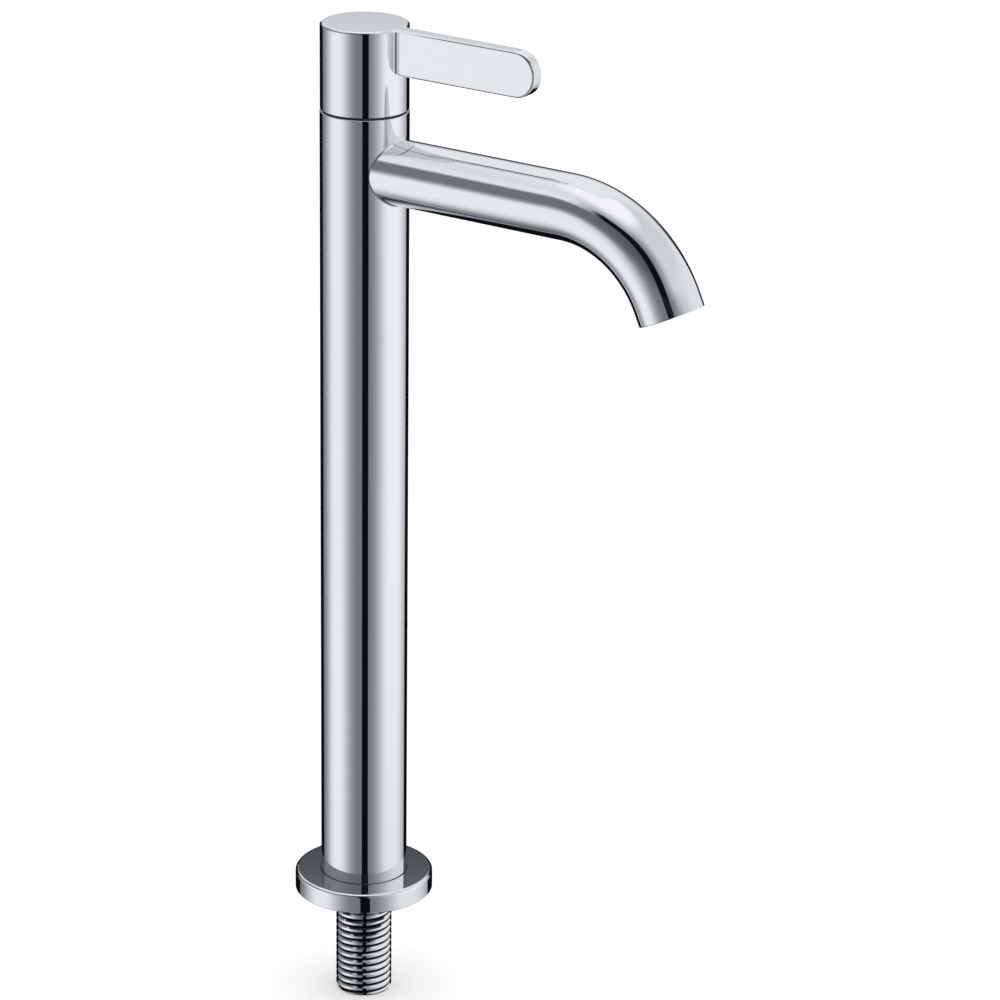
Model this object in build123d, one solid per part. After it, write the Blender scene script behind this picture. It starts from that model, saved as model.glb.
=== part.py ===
from build123d import *
from math import cos, hypot, pi, radians, sin, tan
import os

# Tall pillar tap with a quarter-turn lever and a bent spout, in millimetres.
# The origin is the centre of the flange's underside, where the tap meets the deck. +Z is up,
# and the spout and the lever point to -Y. The lever lies over the spout when the tap is shut,
# and opens it by a quarter turn about Z.

# Clearances
braze_gap = 0.05
thread_gap = 0.05
running_gap = 0.05
seat_gap = 0.05
slide_gap = 0.1
open_gap = 0.8

# How far a cut runs on past the face that it opens
overcut = 1.0

# Column
column_od = 32.0
column_wall = 1.5
column_rise = 294.4
column_rim_bevel = 0.3

# Flange under the column
flange_od = 51.5
flange_thickness = 7.5
flange_top_round = 1.2
flange_edge_bevel = 0.3
flange_seat_bevel = 0.35
foot_seat_depth = 2.0
gasket_rim = 2.25
gasket_width = 6.0
gasket_thickness = 1.5

# Threaded tail, plain at the size of its crests
tail_od = 20.955
tail_bore = 12.0
tail_throat = 9.0
tail_drop = 41.65
tail_tip_bevel = 0.8
tail_grip = 12.0
tail_relief_depth = 0.6
tail_relief_length = 2.0
tail_hole_gap = 0.15
tail_washer_thickness = 1.0

# Riser tube inside the column, sealed at both ends
riser_od = 10.0
riser_wall = 1.0
riser_socket_depth = 10.0
riser_land = 3.5
riser_end_gap = 0.2
riser_ring_section = 1.8
riser_ring_spacing = 3.6
riser_ring_room = 0.3

# Spout
spout_od = 23.7
spout_wall = 1.2
spout_drop = 20.6
spout_straight = 87.0
spout_bend_radius = 45.7
spout_bend_angle = 65.3
spout_end_straight = 5.2
spout_mouth_bevel = 0.3
port_bore = 18.0
port_floor_step = 3.0

# Aerator in the spout's mouth
aerator_od = 18.5
aerator_wall = 1.3
aerator_length = 8.0
aerator_inset = 1.0
aerator_washer_thickness = 1.5
aerator_washer_wall = 1.9
aerator_shoulder = 2.0
aerator_key_count = 8
aerator_key_width = 1.6
aerator_key_depth = 0.8
mouth_inset = 0.3
cell_width = 1.45
cell_wall = 0.35
honeycomb_thickness = 2.0
diffuser_thickness = 1.3
diffuser_depth = 3.6
jet_count = 12
jet_bore = 1.2
jet_circle = 11.0
filter_thickness = 0.8
filter_hole = 1.15
filter_rings = 3

# Bush in the column's top that takes the headwork
bush_height = 9.0
headwork_thread_od = 20.955
headwork_ring_section = 1.4
headwork_ring_core = 19.8

# Headwork body
barrel_od = 17.8
barrel_wall = 1.7
barrel_foot_gap = 1.0
collar_height = 2.0
hexagon_height = 5.0
hexagon_step = 0.6
neck_height = 3.5
neck_wall = 1.45
outlet_window_width = 8.0
outlet_window_height = 6.0
seat_seal_height = 3.0
seat_seal_wall = 1.7

# Ceramic discs
lower_disc_thickness = 3.8
upper_disc_thickness = 3.5
disc_window_inner = 1.8
disc_window_outer = 5.0
disc_window_half_angle = 38.0
disc_lug_width = 2.0
disc_lug_reach = 0.9

# Spindle
fork_leg_length = 6.0
fork_leg_width = 2.9
fork_leg_thickness = 1.4
fork_bite = 1.9
fork_head_thickness = 2.5
thrust_washer_thickness = 0.8
thrust_washer_width = 1.95
spindle_ring_section = 1.6
spindle_ring_spacing = 3.4
spindle_ring_room = 0.4
spline_step = 1.0
spline_tooth_depth = 0.4
spline_teeth = 20
spline_length = 9.0
spline_shoulder = 0.8
clip_thickness = 0.8
clip_groove_depth = 0.8
clip_width = 2.0
clip_opening = 6.0

# Handle
seam_gap = 0.5
handle_step = 0.1
handle_height = 31.1
handle_wall = 2.6
handle_crown = 4.0
handle_edge_bevel = 0.8
handle_skirt_bevel = 0.2
boss_od = 13.0
boss_web = 9.0
spline_bore_spare = 1.0
lever_reach = 74.0
lever_depth = 16.5
lever_thickness = 6.3
lever_tip_thickness = 5.4
lever_root_fillet = 1.3
glide_inset = 0.9
glide_wall = 0.8
glide_sleeve = 3.0
grub_od = 5.0
grub_cover = 0.85
grub_socket = 2.5
grub_socket_depth = 3.0
plug_od = 6.4
plug_length = 3.0
plug_crown = 0.25

# Heights and radii that follow from the sizes above
column_r = column_od / 2
column_inner_r = column_r - column_wall
column_foot_z = flange_thickness - foot_seat_depth
column_top_z = flange_thickness + column_rise
flange_r = flange_od / 2
gasket_outer_r = flange_r - gasket_rim
gasket_inner_r = gasket_outer_r - gasket_width
tail_r = tail_od / 2
tail_bore_r = tail_bore / 2
tail_throat_r = tail_throat / 2
tail_top_z = column_foot_z + tail_grip
tail_washer_top_z = tail_top_z + tail_washer_thickness
riser_r = riser_od / 2
riser_inner_r = riser_r - riser_wall
riser_socket_r = riser_r + running_gap
riser_seat_z = tail_washer_top_z + riser_land
connector_top_z = riser_seat_z + riser_socket_depth
spout_r = spout_od / 2
spout_inner_r = spout_r - spout_wall
spout_axis_z = column_top_z - spout_drop
port_r = port_bore / 2
chamber_floor_z = spout_axis_z - port_r - port_floor_step
riser_roof_z = chamber_floor_z - riser_land
carrier_bottom_z = riser_roof_z - riser_socket_depth
bush_bottom_z = column_top_z - bush_height
thread_r = headwork_thread_od / 2
barrel_r = barrel_od / 2
barrel_inner_r = barrel_r - barrel_wall
barrel_bottom_z = chamber_floor_z + barrel_foot_gap
disc_r = barrel_inner_r - slide_gap
lower_disc_z = chamber_floor_z + seat_seal_height
upper_disc_z = lower_disc_z + lower_disc_thickness
fork_z = upper_disc_z + upper_disc_thickness
fork_head_z = fork_z + fork_leg_length
fork_head_top_z = fork_head_z + fork_head_thickness
washer_top_z = fork_head_top_z + seat_gap + thrust_washer_thickness
ceiling_z = washer_top_z + seat_gap
journal_bore_r = disc_r - thrust_washer_width - slide_gap
journal_r = journal_bore_r - running_gap
spline_crest_r = journal_r - spline_step
neck_r = journal_bore_r + neck_wall
collar_top_z = column_top_z + collar_height
hexagon_top_z = collar_top_z + hexagon_height
neck_top_z = hexagon_top_z + neck_height
clip_z = neck_top_z + slide_gap
journal_top_z = clip_z + clip_thickness + slide_gap + spline_shoulder
spline_top_z = journal_top_z + spline_length
handle_r = column_r - handle_step
handle_inner_r = handle_r - handle_wall
handle_bottom_z = column_top_z + seam_gap
handle_top_z = handle_bottom_z + handle_height
boss_bottom_z = journal_top_z + slide_gap
glide_outer_r = handle_inner_r - slide_gap
glide_inner_r = glide_outer_r - glide_wall
collar_r = glide_inner_r - open_gap
hexagon_corner_r = collar_r - hexagon_step
grub_axis_z = (journal_top_z + spline_top_z) / 2
grub_start_y = spline_crest_r + seat_gap
grub_end_y = handle_r - plug_length - grub_cover
aerator_r = aerator_od / 2
aerator_inner_r = aerator_r - aerator_wall
aerator_back = aerator_inset + aerator_length
aerator_seat = aerator_back + aerator_washer_thickness


def turned(*points):
    """Solid of revolution about Z, from the (radius, height) corners of its half section."""
    outline = Polyline(*[(r, 0, z) for r, z in points], close=True)
    return revolve(make_face(outline), Axis.Z)


def ring(outer, inner, bottom, top):
    return turned((inner, bottom), (outer, bottom), (outer, top), (inner, top))


def rod(radius, bottom, top):
    return Pos(0, 0, bottom) * extrude(Circle(radius), top - bottom)


def block(width, depth, bottom, top, x=0, y=0):
    return Pos(x, y, bottom) * extrude(Rectangle(width, depth), top - bottom)


def o_ring(core_r, section, z):
    """Round-section ring round a shaft or groove of radius core_r, centred at height z."""
    return Pos(0, 0, z) * Torus(core_r + section / 2, section / 2)


def rim_edges(part, radius, z):
    """Circular edges of that radius at that height."""
    found = part.edges().filter_by(GeomType.CIRCLE)
    found = found.filter_by(lambda e: abs(e.radius - radius) < 1e-3)
    return found.filter_by(lambda e: abs(e.center().Z - z) < 1e-3)


# Column


def make_column_tube():
    tube = ring(column_r, column_inner_r, column_foot_z, column_top_z)
    tube = chamfer(rim_edges(tube, column_r, column_top_z), column_rim_bevel)
    port = Pos(0, 0, spout_axis_z) * Rot(90, 0, 0) * extrude(Circle(port_r), column_r)
    return tube - port


def make_base_flange():
    hole_r = tail_r + tail_hole_gap
    plate = ring(flange_r, hole_r, 0, flange_thickness)
    plate = fillet(rim_edges(plate, flange_r, flange_thickness), flange_top_round)
    plate = chamfer(rim_edges(plate, flange_r, 0), flange_edge_bevel)
    seat = rod(column_r + seat_gap, column_foot_z, flange_thickness + overcut)
    groove = ring(
        gasket_outer_r + seat_gap,
        gasket_inner_r - seat_gap,
        -overcut,
        gasket_thickness,
    )
    plate = plate - seat - groove
    seat_rim = rim_edges(plate, column_r + seat_gap, flange_thickness)
    return chamfer(seat_rim, flange_seat_bevel)


def make_flange_gasket():
    return ring(gasket_outer_r, gasket_inner_r, 0, gasket_thickness)


def make_threaded_shank():
    shank = rod(tail_r, -tail_drop, tail_top_z)
    shank = chamfer(rim_edges(shank, tail_r, -tail_drop), tail_tip_bevel)
    relief = ring(tail_r + overcut, tail_r - tail_relief_depth, 0, tail_relief_length)
    inlet = rod(tail_bore_r, -tail_drop - overcut, 0)
    throat = rod(tail_throat_r, -overcut, tail_top_z + overcut)
    return shank - relief - inlet - throat


def make_shank_washer():
    return ring(tail_r - thread_gap, tail_throat_r, tail_top_z, tail_washer_top_z)


def ring_grooves(start_z):
    """Two grooves for the riser's rings, inside a socket that starts at start_z."""
    groove_r = riser_socket_r + riser_ring_section + seat_gap
    half = (riser_ring_section + riser_ring_room) / 2
    heights = riser_ring_heights(start_z)
    return [ring(groove_r, riser_r - overcut, z - half, z + half) for z in heights]


def riser_ring_heights(start_z):
    middle = start_z + riser_socket_depth / 2
    return [middle - riser_ring_spacing / 2, middle + riser_ring_spacing / 2]


def make_base_connector():
    plug = rod(column_inner_r - braze_gap, column_foot_z, connector_top_z)
    plug -= rod(tail_r + thread_gap, column_foot_z - overcut, tail_washer_top_z)
    plug -= rod(riser_inner_r, column_foot_z, connector_top_z)
    plug -= rod(riser_socket_r, riser_seat_z, connector_top_z + overcut)
    for groove in ring_grooves(riser_seat_z):
        plug -= groove
    return plug


def make_seat_carrier():
    plug = rod(column_inner_r - braze_gap, carrier_bottom_z, chamber_floor_z)
    plug -= rod(riser_inner_r, carrier_bottom_z, chamber_floor_z + overcut)
    plug -= rod(riser_socket_r, carrier_bottom_z - overcut, riser_roof_z)
    for groove in ring_grooves(carrier_bottom_z):
        plug -= groove
    return plug


def make_riser_tube():
    bottom = riser_seat_z + riser_end_gap
    top = riser_roof_z - riser_end_gap
    return ring(riser_r, riser_inner_r, bottom, top)


def make_riser_o_rings():
    core_r = riser_r + running_gap / 2
    starts = [riser_seat_z, carrier_bottom_z]
    heights = [z for start in starts for z in riser_ring_heights(start)]
    return Compound([o_ring(core_r, riser_ring_section, z) for z in heights])


def make_top_bush():
    bush = ring(
        column_inner_r - braze_gap,
        thread_r + thread_gap,
        bush_bottom_z,
        column_top_z,
    )
    pocket_r = headwork_ring_core / 2 + headwork_ring_section + seat_gap
    pocket_z = column_top_z - headwork_ring_section - seat_gap
    return bush - rod(pocket_r, pocket_z, column_top_z + overcut)


def make_handle_glide_ring():
    """Lies on the column's rim and guides the handle's skirt from inside."""
    lip_top_z = handle_bottom_z - slide_gap
    lip = ring(column_r - glide_inset, glide_inner_r, column_top_z, lip_top_z)
    return lip + ring(glide_outer_r, glide_inner_r, column_top_z, lip_top_z + glide_sleeve)


# Spout


def outlet_direction():
    angle = radians(spout_bend_angle)
    return Vector(0, -cos(angle), -sin(angle))


def spout_corner():
    """Where the spout's straight and its outlet line would cross."""
    tangent = spout_bend_radius * tan(radians(spout_bend_angle) / 2)
    return Vector(0, -spout_straight - tangent, spout_axis_z), tangent


def outlet_centre():
    corner, tangent = spout_corner()
    return corner + outlet_direction() * (tangent + spout_end_straight)


def spout_path():
    start = Vector(0, 0, spout_axis_z)
    return FilletPolyline(start, spout_corner()[0], outlet_centre(), radius=spout_bend_radius)


def spout_rod(radius):
    path = spout_path()
    section = Plane(origin=path @ 0, z_dir=path % 0) * Circle(radius)
    return sweep(section, path)


def at_outlet(part):
    """Puts a piece drawn about Z, with its outlet face at height 0, into the spout's mouth."""
    return Plane(origin=outlet_centre(), x_dir=(1, 0, 0), z_dir=outlet_direction()) * part


def make_spout_tube():
    tube = spout_rod(spout_r)
    mouth = tube.faces().sort_by_distance(outlet_centre())[0]
    tube = chamfer(mouth.edges(), spout_mouth_bevel)
    tube -= spout_rod(spout_inner_r)
    reach = spout_r + column_r
    return tube - rod(column_r, spout_axis_z - reach, spout_axis_z + reach)


def make_outlet_bush():
    """Straight inside for the aerator; its outside follows the bend of the tube."""
    bush = ring(spout_r, aerator_r + thread_gap, -aerator_seat, -mouth_inset)
    shoulder_r = aerator_r - aerator_washer_wall
    bush += ring(spout_r, shoulder_r, -aerator_seat - aerator_shoulder, -aerator_seat)
    return at_outlet(bush) & spout_rod(spout_inner_r - braze_gap)


def make_aerator_cage():
    cage = ring(aerator_r, aerator_inner_r, -aerator_back, -aerator_inset)
    for n in range(aerator_key_count):
        key = block(
            aerator_r * 2,
            aerator_key_width,
            -aerator_inset - aerator_key_depth,
            0,
            x=aerator_r + aerator_inner_r - aerator_wall / 2,
        )
        cage -= Rot(0, 0, 360 * n / aerator_key_count) * key
    return at_outlet(cage)


def honeycomb_centres(radius):
    """Centres of a hexagonal grid whose cells lie inside a circle."""
    pitch = cell_width + cell_wall
    row_step = pitch * sin(pi / 3)
    rows = int(radius / row_step)
    centres = []
    for row in range(-rows, rows + 1):
        shift = pitch / 2 * (row % 2)
        for column in range(-rows - 1, rows + 2):
            x = column * pitch + shift
            y = row * row_step
            if hypot(x, y) + cell_width / 2 < radius:
                centres.append((x, y))
    return centres


def make_aerator_honeycomb():
    face_r = aerator_inner_r - seat_gap
    plate = Circle(face_r)
    cell_r = cell_width / 2 / cos(pi / 6)
    cells = [
        Pos(x, y) * RegularPolygon(cell_r, 6, rotation=30)
        for x, y in honeycomb_centres(face_r - cell_wall)
    ]
    plate -= cells
    depth = aerator_inset + aerator_key_depth + honeycomb_thickness
    return at_outlet(Pos(0, 0, -depth) * extrude(plate, honeycomb_thickness))


def make_aerator_diffuser():
    plate = Circle(aerator_inner_r - seat_gap)
    plate -= PolarLocations(jet_circle / 2, jet_count) * Circle(jet_bore / 2)
    depth = aerator_inset + diffuser_depth + diffuser_thickness
    return at_outlet(Pos(0, 0, -depth) * extrude(plate, diffuser_thickness))


def make_aerator_filter():
    plate_r = aerator_inner_r - seat_gap
    plate = Circle(plate_r)
    step = plate_r / (filter_rings + 1)
    for n in range(1, filter_rings + 1):
        plate -= PolarLocations(step * n, 6 * n) * Rectangle(filter_hole, filter_hole)
    depth = aerator_back
    return at_outlet(Pos(0, 0, -depth) * extrude(plate, filter_thickness))


def make_aerator_washer():
    inner_r = aerator_r - aerator_washer_wall
    return at_outlet(ring(aerator_r - seat_gap, inner_r, -aerator_seat, -aerator_back))


# Headwork


def make_headwork_body():
    barrel = rod(barrel_r, barrel_bottom_z, bush_bottom_z)
    thread = rod(thread_r, bush_bottom_z, column_top_z)
    core_r = headwork_ring_core / 2
    relief_z = column_top_z - headwork_ring_section - 2 * seat_gap
    relief = ring(thread_r + overcut, core_r, relief_z, column_top_z)
    collar = rod(collar_r, column_top_z, collar_top_z)
    hexagon = Pos(0, 0, collar_top_z) * extrude(
        RegularPolygon(hexagon_corner_r, 6), hexagon_height
    )
    neck = rod(neck_r, hexagon_top_z, neck_top_z)
    body = barrel + (thread - relief) + collar + hexagon + neck
    body -= rod(barrel_inner_r, barrel_bottom_z - overcut, ceiling_z)
    body -= rod(journal_bore_r, ceiling_z - overcut, neck_top_z + overcut)
    window_bottom = fork_z + seat_gap
    body -= block(
        outlet_window_width,
        barrel_od + 2 * overcut,
        window_bottom,
        window_bottom + outlet_window_height,
    )
    lug_r = barrel_inner_r + disc_lug_reach + slide_gap
    body -= block(
        2 * lug_r,
        disc_lug_width + 2 * slide_gap,
        barrel_bottom_z - overcut,
        upper_disc_z,
    )
    return body


def make_headwork_o_ring():
    middle = column_top_z - headwork_ring_section / 2 - seat_gap / 2
    return o_ring(headwork_ring_core / 2 + seat_gap / 2, headwork_ring_section, middle)


def make_seat_seal():
    outer_r = disc_r
    return ring(outer_r, outer_r - seat_seal_wall, chamber_floor_z, lower_disc_z)


def disc_windows(turn):
    """Two opposed windows of a ceramic disc, centred on the X axis before they are turned."""
    half_width = barrel_r * tan(radians(disc_window_half_angle))
    wedge = Polygon((0, 0), (barrel_r, -half_width), (barrel_r, half_width), align=None)
    band = Circle(disc_window_outer) - Circle(disc_window_inner)
    window = band & wedge
    return [Rot(0, 0, turn) * window, Rot(0, 0, turn + 180) * window]


def make_lower_ceramic_disc():
    disc = Circle(disc_r) - disc_windows(90)
    lug_r = barrel_inner_r + disc_lug_reach
    lugs = Rectangle(2 * lug_r, disc_lug_width) - Circle(disc_window_outer + slide_gap)
    return Pos(0, 0, lower_disc_z) * extrude(disc + lugs, lower_disc_thickness)


def fork_legs(clearance):
    """The two legs of the spindle's fork in plan, at the front and the back."""
    outer_r = disc_r - slide_gap + clearance
    inner_y = disc_r - slide_gap - fork_leg_thickness - clearance
    band = Rectangle(fork_leg_width + 2 * clearance, 2 * outer_r)
    return (Circle(outer_r) & band) - Rectangle(barrel_od, 2 * inner_y)


def make_upper_ceramic_disc():
    disc = Circle(disc_r) - disc_windows(0)
    disc = Pos(0, 0, upper_disc_z) * extrude(disc, upper_disc_thickness)
    bite = fork_bite + seat_gap
    notches = fork_legs(slide_gap + seat_gap)
    return disc - Pos(0, 0, fork_z - bite) * extrude(notches, bite + overcut)


def spline_outline(growth):
    """Twenty straight-sided teeth; growth moves every corner outwards."""
    crest = spline_crest_r + growth
    root = crest - spline_tooth_depth
    step = 2 * pi / spline_teeth
    corners = []
    for n in range(spline_teeth):
        for share, radius in ((-0.3, root), (-0.15, crest), (0.15, crest), (0.3, root)):
            angle = step * (n + share)
            corners.append((radius * cos(angle), radius * sin(angle)))
    return make_face(Polyline(*corners, close=True))


def spindle_ring_heights():
    upper = neck_top_z - spindle_ring_spacing
    return [upper, upper - spindle_ring_spacing]


def make_spindle():
    legs_length = fork_leg_length + fork_bite
    legs = Pos(0, 0, fork_z - fork_bite) * extrude(fork_legs(0), legs_length)
    head = rod(disc_r - slide_gap, fork_head_z, fork_head_top_z)
    journal = rod(journal_r, fork_head_top_z, journal_top_z)
    spline = Pos(0, 0, journal_top_z) * extrude(spline_outline(0), spline_length)
    spindle = legs + head + journal + spline
    half = (spindle_ring_section + spindle_ring_room) / 2
    core_r = journal_bore_r - spindle_ring_section - seat_gap
    for z in spindle_ring_heights():
        spindle -= ring(journal_r + overcut, core_r, z - half, z + half)
    groove_r = journal_r - clip_groove_depth
    groove_bottom = clip_z - slide_gap / 2
    groove_top = clip_z + clip_thickness + slide_gap / 2
    return spindle - ring(journal_r + overcut, groove_r, groove_bottom, groove_top)


def make_spindle_o_rings():
    core_r = journal_bore_r - spindle_ring_section - seat_gap / 2
    rings = [o_ring(core_r, spindle_ring_section, z) for z in spindle_ring_heights()]
    return Compound(rings)


def make_spindle_clip():
    inner_r = journal_r - clip_groove_depth + seat_gap
    clip = ring(inner_r + clip_width, inner_r, clip_z, clip_z + clip_thickness)
    opening = block(
        clip_opening,
        2 * journal_r,
        clip_z - overcut,
        clip_z + clip_thickness + overcut,
        y=journal_r + clip_groove_depth,
    )
    return clip - opening


def make_thrust_washer():
    bottom = fork_head_top_z + seat_gap
    return ring(disc_r, journal_bore_r + slide_gap, bottom, washer_top_z)


# Handle


def blade_side(inset):
    """The blade seen from the side, from the column's axis to its round tip."""
    tip_r = lever_depth / 2
    length = lever_reach - tip_r
    side = Rectangle(length, lever_depth - 2 * inset, align=(Align.MIN, Align.CENTER))
    return side + Pos(length, 0) * Circle(tip_r - inset)


def blade_plane(way, inset):
    """Upright plane along one face of the blade, its own x axis to the front, at half height."""
    middle_z = handle_top_z - lever_depth / 2
    taper = way * (lever_thickness - lever_tip_thickness) / 2
    start = (way * (lever_thickness / 2 - inset), 0, middle_z)
    return Plane(origin=start, x_dir=(-taper, -lever_reach, 0), z_dir=(lever_reach, -taper, 0))


def make_blade():
    """Blade that tapers in plan to its tip, with a bevel round each face."""
    edges = [blade_plane(way, handle_edge_bevel) * blade_side(0) for way in (-1, 1)]
    blade = loft(edges)
    for way, edge in zip((-1, 1), edges):
        face = blade_plane(way, 0) * blade_side(handle_edge_bevel)
        blade += loft([edge, face])
    return blade


def make_blade_root():
    """The concave corners that lead the cap's side into the blade's faces."""
    half = lever_thickness / 2
    tip_half = lever_tip_thickness / 2
    tip = [(tip_half, -lever_reach), (-tip_half, -lever_reach)]
    plan = Circle(handle_r) + make_face(Polyline((half, 0), *tip, (-half, 0), close=True))
    corners = [v for v in plan.vertices() if abs(hypot(v.X, v.Y) - handle_r) < 0.01 and v.Y < 0]
    plan = fillet(corners, lever_root_fillet)
    near = Rectangle(4 * lever_thickness, 4 * lever_root_fillet)
    plan = plan & (Pos(0, -handle_r) * near)
    height = lever_depth - 2 * handle_edge_bevel
    return Pos(0, 0, handle_top_z - lever_depth + handle_edge_bevel) * extrude(plan, height)


def make_handle_shell():
    """The round cap and the lever blade, level at the top."""
    cap = rod(handle_r, handle_bottom_z, handle_top_z)
    cap = chamfer(rim_edges(cap, handle_r, handle_top_z), handle_edge_bevel)
    cap = chamfer(rim_edges(cap, handle_r, handle_bottom_z), handle_skirt_bevel)
    return cap + make_blade() + make_blade_root()


def make_handle():
    handle = make_handle_shell()
    ceiling = handle_top_z - handle_crown
    handle -= rod(handle_inner_r, handle_bottom_z - overcut, ceiling)
    web_length = handle_inner_r + handle_wall / 2
    inside = rod(boss_od / 2, boss_bottom_z, ceiling + handle_crown / 2)
    inside += block(
        boss_web,
        web_length,
        boss_bottom_z,
        ceiling + handle_crown / 2,
        y=web_length / 2,
    )
    handle += inside
    bore_top = spline_top_z + spline_bore_spare
    bore = extrude(spline_outline(slide_gap), bore_top - boss_bottom_z + overcut)
    handle -= Pos(0, 0, boss_bottom_z - overcut) * bore
    handle -= across_back(grub_od / 2 + thread_gap, 0, handle_r)
    return handle - across_back(plug_od / 2 + seat_gap, handle_r - plug_length, handle_r + overcut)


def across_back(radius, start, end):
    """Rod that runs to the back from start to end at the grub screw's height."""
    return Pos(0, start, grub_axis_z) * Rot(-90, 0, 0) * extrude(Circle(radius), end - start)


def make_handle_grub_screw():
    screw = across_back(grub_od / 2, grub_start_y, grub_end_y)
    socket = RegularPolygon(grub_socket / 2, 6, major_radius=False)
    start = grub_end_y - grub_socket_depth
    cut = Pos(0, start, grub_axis_z) * Rot(-90, 0, 0) * extrude(socket, grub_socket_depth + overcut)
    return screw - cut


def make_screw_plug():
    plug = across_back(plug_od / 2, handle_r - plug_length + seat_gap, handle_r - plug_crown)
    outer = plug.edges().sort_by(Axis.Y)[-1]
    return fillet(outer, plug_crown)


pieces = {
    "column_tube": make_column_tube,
    "base_flange": make_base_flange,
    "flange_gasket": make_flange_gasket,
    "threaded_shank": make_threaded_shank,
    "shank_washer": make_shank_washer,
    "base_connector": make_base_connector,
    "seat_carrier": make_seat_carrier,
    "riser_tube": make_riser_tube,
    "riser_o_rings": make_riser_o_rings,
    "top_bush": make_top_bush,
    "handle_glide_ring": make_handle_glide_ring,
    "spout_tube": make_spout_tube,
    "outlet_bush": make_outlet_bush,
    "aerator_cage": make_aerator_cage,
    "aerator_honeycomb": make_aerator_honeycomb,
    "aerator_diffuser": make_aerator_diffuser,
    "aerator_filter": make_aerator_filter,
    "aerator_washer": make_aerator_washer,
    "headwork_body": make_headwork_body,
    "headwork_o_ring": make_headwork_o_ring,
    "seat_seal": make_seat_seal,
    "lower_ceramic_disc": make_lower_ceramic_disc,
    "upper_ceramic_disc": make_upper_ceramic_disc,
    "spindle": make_spindle,
    "spindle_o_rings": make_spindle_o_rings,
    "spindle_clip": make_spindle_clip,
    "thrust_washer": make_thrust_washer,
    "handle": make_handle,
    "handle_grub_screw": make_handle_grub_screw,
    "screw_plug": make_screw_plug,
}

os.makedirs("parts", exist_ok=True)
for name, make in pieces.items():
    piece = make()
    export_step(piece, f"parts/{name}.step")
    print(name, "volume", round(piece.volume, 1))
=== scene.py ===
from math import atan2, cos, hypot, pi, radians, sin, sqrt

import bmesh
import bpy
from mathutils import Matrix, Vector
from mathutils.kdtree import KDTree


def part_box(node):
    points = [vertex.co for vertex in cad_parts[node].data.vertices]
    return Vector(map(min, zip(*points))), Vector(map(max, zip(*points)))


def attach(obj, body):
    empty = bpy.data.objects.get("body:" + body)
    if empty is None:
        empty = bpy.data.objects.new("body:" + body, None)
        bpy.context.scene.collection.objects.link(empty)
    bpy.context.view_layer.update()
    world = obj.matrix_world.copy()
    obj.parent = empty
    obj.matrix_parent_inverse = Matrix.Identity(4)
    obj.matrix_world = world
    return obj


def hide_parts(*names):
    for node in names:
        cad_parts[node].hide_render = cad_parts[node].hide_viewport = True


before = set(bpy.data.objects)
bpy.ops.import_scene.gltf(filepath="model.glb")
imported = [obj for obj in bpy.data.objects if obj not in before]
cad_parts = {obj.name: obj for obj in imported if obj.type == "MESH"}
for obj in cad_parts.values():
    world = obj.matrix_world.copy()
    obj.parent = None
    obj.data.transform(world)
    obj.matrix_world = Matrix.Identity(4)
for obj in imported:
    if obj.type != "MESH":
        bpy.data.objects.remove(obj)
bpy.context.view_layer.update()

bl_info = {
    "name": "Tall pillar tap",
    "version": (1, 0, 0),
    "blender": (4, 5, 0),
    "location": "3D View > Sidebar > Tap",
    "description": "Chromed pillar tap with a side lever, in its photo studio",
    "category": "Object",
}

MM = 0.001
TINY = 1e-6
ROUND_STEPS = 128
FIXED_BODY = "tap_body"
HANDLE_BODY = "turning_handle"

COLUMN_LOW, COLUMN_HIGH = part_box("column_tube")
SHANK_LOW, SHANK_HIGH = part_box("threaded_shank")
SPOUT_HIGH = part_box("spout_tube")[1]
FLANGE_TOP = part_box("base_flange")[1].z
CAP_LOW, CAP_TOP = (corner.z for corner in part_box("handle"))

COLUMN_R = COLUMN_HIGH.x
SPOUT_R = SPOUT_HIGH.x
SPOUT_AXIS_Z = SPOUT_HIGH.z - SPOUT_R
SHANK_R = SHANK_HIGH.x
CAP_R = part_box("handle")[1].y


def linear(code):
    """sRGB hex colour as linear red, green and blue."""
    parts = [int(code[n:n + 2], 16) / 255 for n in (1, 3, 5)]
    return tuple(p / 12.92 if p <= 0.04045 else ((p + 0.055) / 1.055) ** 2.4 for p in parts)


def size(name, text, value):
    """A length in millimetres that the sidebar shows in scene units."""
    return bpy.props.FloatProperty(
        name=name, description=text, default=value * MM, unit="LENGTH", subtype="DISTANCE"
    )


def colour(name, text, code):
    return bpy.props.FloatVectorProperty(
        name=name, description=text, default=linear(code), subtype="COLOR", min=0, max=1
    )


# What a user would change


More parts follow.
